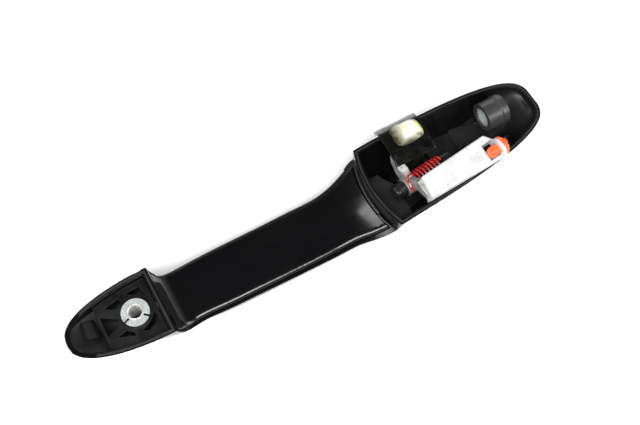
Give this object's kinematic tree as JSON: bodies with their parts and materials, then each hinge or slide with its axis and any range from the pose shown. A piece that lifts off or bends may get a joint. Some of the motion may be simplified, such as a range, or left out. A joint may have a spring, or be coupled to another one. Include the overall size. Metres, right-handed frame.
{
  "type": "car door handle",
  "caption": "Strap-shaped outside door handle with a squeeze grip in the bow that turns a sprung latch lever in the rear pod.",
  "frame": {"origin": "centre of the front threaded insert's top face, in the plane of both pod rims (the door skin)", "axes": "+X from the front pod to the rear pod, +Z into the door along the front fixing screw, +Y completes the frame"},
  "size_m": [0.2326, 0.043, 0.0368],
  "materials": {
    "gloss_black": "smooth satin-gloss moulded",
    "black_nylon": "ribbed matt moulding",
    "satin_black": "satin moulded tube",
    "rim_seal": "extruded seal",
    "zinc_plate": "bright zinc plated",
    "dark_steel": "phosphated, oiled",
    "rubber_pad": "soft matt",
    "hook_black": "black enamel with worn edges",
    "cream_grease": "thick soft cream pad",
    "cast_zinc": "fine cast surface, satin",
    "natural_nylon": "natural nylon",
    "red_spring": "red enamelled wire",
    "orange_plastic": "orange acetal"
  },
  "bodies": {
    "housing": {"outer_shell": "gloss_black", "front_base": "black_nylon", "front_insert": "zinc_plate", "insert_washer": "zinc_plate", "front_tab": "black_nylon", "front_gasket": "rim_seal", "rear_gasket": "rim_seal", "rear_base": "black_nylon", "rear_screw_boss": "satin_black", "rear_bush": "zinc_plate", "base_screw_1": "zinc_plate", "base_screw_2": "zinc_plate", "pivot_pin": "dark_steel", "pin_clip": "dark_steel", "stop_bumper": "rubber_pad", "grip_pin": "dark_steel"},
    "grip": {"grip_plate": "gloss_black", "pull_hook": "hook_black", "hook_pad": "cream_grease", "hook_rivet_1": "dark_steel", "hook_rivet_2": "dark_steel"},
    "bellcrank": {"bellcrank": "cast_zinc", "hub_bush": "natural_nylon", "torsion_spring": "red_spring"},
    "rod_clip": {"rod_clip": "orange_plastic", "clip_gate": "orange_plastic"}
  },
  "joints": [
    {"name": "grip_pull", "type": "hinge", "parent": "housing", "child": "grip", "pos_m": [0.017, 0, -0.014], "axis": [0, 1, 0], "range_deg": [0, 2.2], "stiffness_Nm_per_rad": 2},
    {"name": "bellcrank_turn", "type": "hinge", "parent": "housing", "child": "bellcrank", "pos_m": [0.1245, -0.0044, -0.005], "axis": [-0.9934, -0.1149, 0], "range_deg": [0, 19.8], "stiffness_Nm_per_rad": 0.05, "springref_deg": -17.19},
    {"name": "rod_clip_swivel", "type": "hinge", "parent": "bellcrank", "child": "rod_clip", "pos_m": [0.16966, -0.01186, 0.0052], "axis": [0.9934, 0.1149, 0], "range_deg": [-35, 35]}
  ],
  "couplings": [
    {"joint": "bellcrank_turn", "follows": "grip_pull", "ratio": 9}
  ]
}
